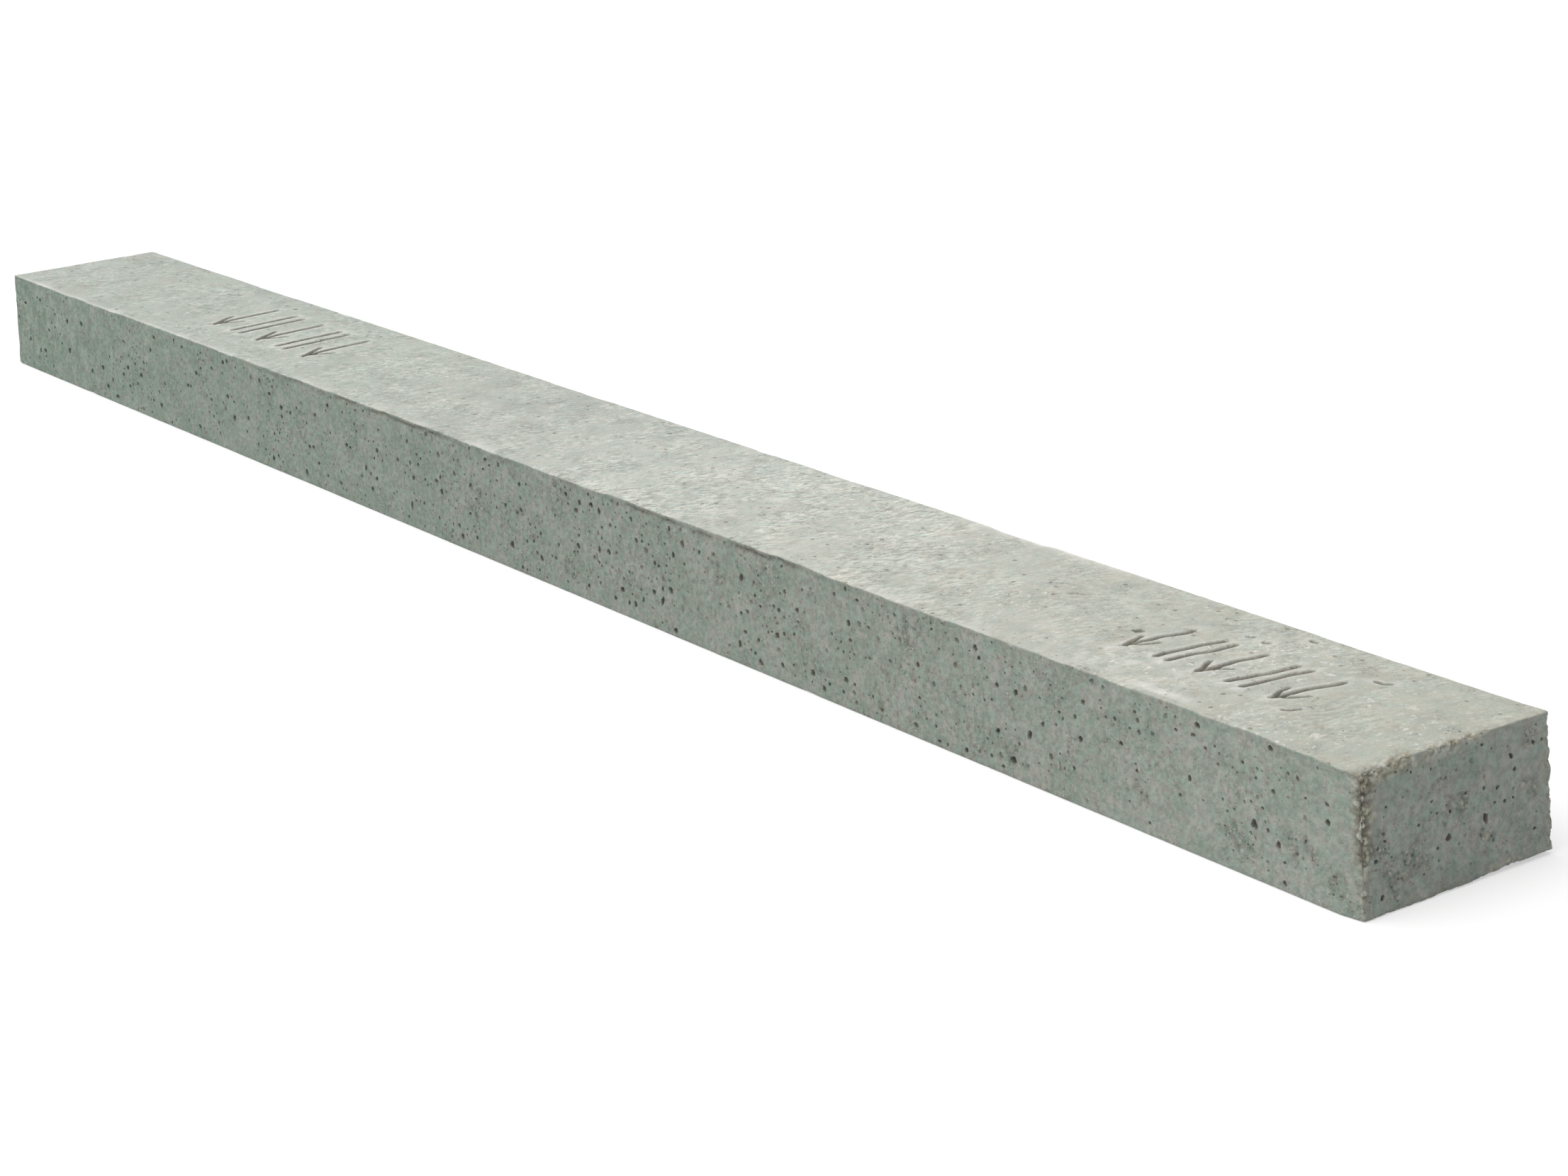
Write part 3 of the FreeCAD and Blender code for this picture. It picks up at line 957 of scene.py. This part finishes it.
# the trowelled top: strokes of the float over slow patches
def topShade(bench, look):
    across = bench.turned(*look["strokeTurn"])
    top = bench.times(bench.pattern(look["strokes"], across), bench.pattern(look["broadStrokes"], across))
    lively = bench.times(bench.pattern(look["lively"]), bench.fade(*look["livelyFade"]))
    top = bench.times(bench.mix(lively, (1, 1, 1, 1), top), bench.pattern(look["slowTop"]))
    top = bench.tinted(bench.tints(look["topTints"]), top)
    return bench.mix(bench.spots(*look["specks"]), top, look["specked"], "MULTIPLY")


# where the top's pale flecks and bloom are, and the painted highlight on the scoring's burrs
def bloomAndHighlights(bench, look):
    flecks = bench.pattern(look["flecks"], bench.turned(*look["fleckTurn"]))
    flecks = bench.times(flecks, bench.pattern(look["fleckCrowds"]), bench.fade(*look["fleckFade"]))
    return bench.maths("MAXIMUM", bench.painted("bleached"), flecks)


# a crumb is sand, mortar or stone by its own tone, and browner in spots
def crumbShade(bench, look):
    sand, mortar, stone = (paint(*tone) for tone in look["crumbs"])
    tone = bench.painted("crumbTone")
    crumbs = bench.mix(bench.ramp(tone, 0.0, 0.5), sand, mortar)
    crumbs = bench.mix(bench.ramp(tone, 0.55, 0.9), crumbs, stone)
    return bench.mix(bench.pattern(look["earthySpots"]), crumbs, look["earthy"], "MULTIPLY")


def concreteMaterial(look):
    bench = nodeBench(bpy.data.materials.new("cast_concrete"))
    trowelled = bench.painted("trowelled")
    colour = bench.mix(bench.painted("endOn"), bench.along(look["mould"]), paint(*look["end"]))
    colour = bench.mix(trowelled, colour, bench.along(look["trowelled"]))
    colour = bench.tinted(colour, bench.mix(trowelled, sideShade(bench, look), topShade(bench, look)))
    # lime bloom and pale flecks on the top, with the painted highlight on the burrs in the same colour
    colour = bench.mix(bench.times(bloomAndHighlights(bench, look), trowelled), colour, paint(*look["bloom"]))

    rough = bench.maths("MAXIMUM", bench.painted("rough"), bench.pattern(look["sandy"]))
    for spots, grain in look["sand"]:
        grains = bench.times(bench.spots(*spots), rough, look["sandHides"])
        colour = bench.mix(grains, colour, paint(*grain))
    # painted shade, grey to brown in patches, laid where the holes, the line under the lip and the gaps
    # between crumbs are
    shadeTones = bench.mix(bench.pattern(look["brownerShade"]), *(paint(*tone) for tone in look["shadeTones"]))
    laid = {"broken": crumbShade(bench, look), "scored": paint(*look["scored"]), "hollow": shadeTones}
    for name, hides in look["hides"].items():
        colour = bench.mix(bench.times(bench.painted(name), hides), colour, laid[name])
    (grit, gritDepth), (lumps, lumpDepth) = look["grit"], look["lumps"]
    fine = bench.times(bench.cloud(*grit), bench.ramp(rough, 0, 1, *look["gritGain"]))
    relief = bench.bump(bench.cloud(*lumps), lumpDepth, Normal=bench.bump(fine, gritDepth))
    return bench.surface({"Base Color": colour, "Roughness": look["roughness"], "Normal": relief})


concrete.data.materials.append(concreteMaterial(concreteLook))
print("concrete material on")


# what lies inside the concrete: two colours in a pattern, its direction, and fine relief as for the concrete
rustySteel = {
    "pattern": (9, 4, 0.6, 0.5, 0.7, 0.0, 0.6), "turn": (0.0, (1.0, 1.0, 1.0)),
    "relief": ((2,), 0.1), "roughness": 0.5, "metallic": 0.85,
}
castInLooks = {
    "tension_bar": {"name": "ribbed_bar_steel", "colours": ((112, 104, 96), (120, 72, 44)), **rustySteel},
    "cross_wire": {"name": "drawn_wire_steel", "colours": ((136, 134, 130), (120, 72, 44)), **rustySteel},
    "spacer": {
        "name": "fibre_concrete", "colours": ((150, 150, 144), (186, 184, 174)),
        "pattern": (0.8, 2, 0.5, 0.55, 0.72), "turn": (35.0, (1.0, 11.0, 1.0)),
        "relief": ((1.5,), 0.15), "roughness": 0.9, "metallic": 0.0,
    },
}


def castInMaterial(look):
    bench = nodeBench(bpy.data.materials.new(look["name"]))
    pattern = bench.pattern(look["pattern"], bench.turned(*look["turn"]))
    grain, depth = look["relief"]
    return bench.surface({
        "Base Color": bench.mix(pattern, *(paint(*colour) for colour in look["colours"])),
        "Roughness": look["roughness"],
        "Metallic": look["metallic"],
        "Normal": bench.bump(bench.cloud(*grain), depth),
    })


for kind, look in castInLooks.items():
    material = castInMaterial(look)
    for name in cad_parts:
        if name.startswith(kind):
            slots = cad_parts[name].data.materials
            slots.clear()
            slots.append(material)
print("steel and spacer materials on")


studioLook = {
    "sky": 0.50,           # even light from all round
    "lampStrength": 1.75,
    "lampWidth": 70.0,     # apparent width of the lamp in degrees, for soft shadows
    "lampFrom": (-0.30, -0.55, 1.25),
    "floorColour": 0.62,
    "floorGlow": 0.47,     # what the camera sees besides the light that falls on the floor
    "floorSize": 12.0,     # half its width, in metres
    "floorGap": 0.0002,    # how far it lies below the base
}


# 1 for what the camera, a mirror or glass sees, and 0 for light that falls on things
def seenDirectly(bench):
    path = bench.add("ShaderNodeLightPath")
    total = path.outputs["Is Camera Ray"]
    for name in ("Is Glossy Ray", "Is Transmission Ray"):
        total = bench.maths("ADD", total, path.outputs[name], use_clamp=True)
    return total


def makeStudio(look):
    white = (1, 1, 1, 1)
    scene = bpy.context.scene
    scene.view_settings.view_transform = "Standard"
    scene.world = bpy.data.worlds.new("studio")
    bench = nodeBench(scene.world)
    light = bench.tree.nodes["Background"]
    bench.plug(light, {"Color": white, "Strength": look["sky"]})
    seen = bench.add("ShaderNodeBackground", {"Color": white, "Strength": 1.0})
    backgrounds = {1: light.outputs["Background"], 2: seen.outputs["Background"]}
    choice = bench.add("ShaderNodeMixShader", {"Fac": seenDirectly(bench), **backgrounds})
    bench.plug(bench.tree.nodes["World Output"], {"Surface": choice.outputs["Shader"]})

    reach = look["floorSize"]
    corners = [(-reach, -reach, 0), (reach, -reach, 0), (reach, reach, 0), (-reach, reach, 0)]
    floor = makeMesh("floor", np.array(corners) - (0, 0, look["floorGap"]), np.array([(0, 1, 2, 3)]))
    bench = nodeBench(bpy.data.materials.new("pale_floor"))
    floor.data.materials.append(bench.surface({
        "Base Color": (look["floorColour"],) * 3 + (1,),
        "Roughness": 1.0,
        "Specular IOR Level": 0.0,
        "Emission Color": white,
        "Emission Strength": bench.times(seenDirectly(bench), look["floorGlow"]),
    }))

    lamp = bpy.data.objects.new("studio_lamp", bpy.data.lights.new("studio_lamp", "SUN"))
    lamp.data.energy = look["lampStrength"]
    lamp.data.angle = math.radians(look["lampWidth"])
    lamp.rotation_euler = Vector(look["lampFrom"]).to_track_quat("Z", "Y").to_euler()
    scene.collection.objects.link(lamp)


makeStudio(studioLook)
print("studio ready")
